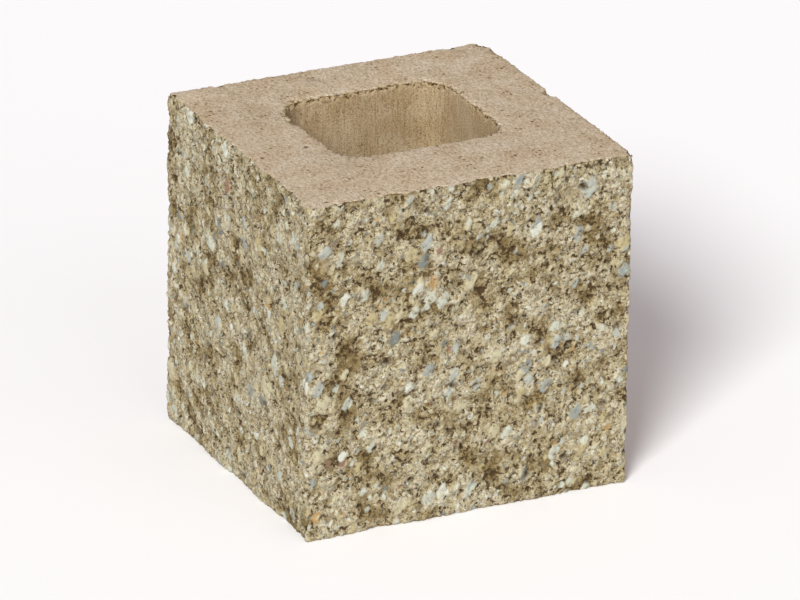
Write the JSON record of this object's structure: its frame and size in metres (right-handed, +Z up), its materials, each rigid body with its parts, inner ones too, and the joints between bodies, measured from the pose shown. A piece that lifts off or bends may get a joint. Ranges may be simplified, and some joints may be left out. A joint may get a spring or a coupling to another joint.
{
  "type": "split-faced fence block",
  "caption": "Cube-like concrete fence block with a rounded tapered core through it and neighbouring faces split rough to show the aggregate.",
  "frame": {"origin": "middle of the bottom face of the block's box", "axes": "+Z up from the lower bed face to the upper one, -Y out of the long split face, -X out of the short split face"},
  "size_m": [0.2, 0.19, 0.2],
  "materials": {
    "concrete": "split and vibro-pressed concrete, matt"
  },
  "bodies": {
    "root": {"fence_block": "concrete"}
  },
  "joints": []
}
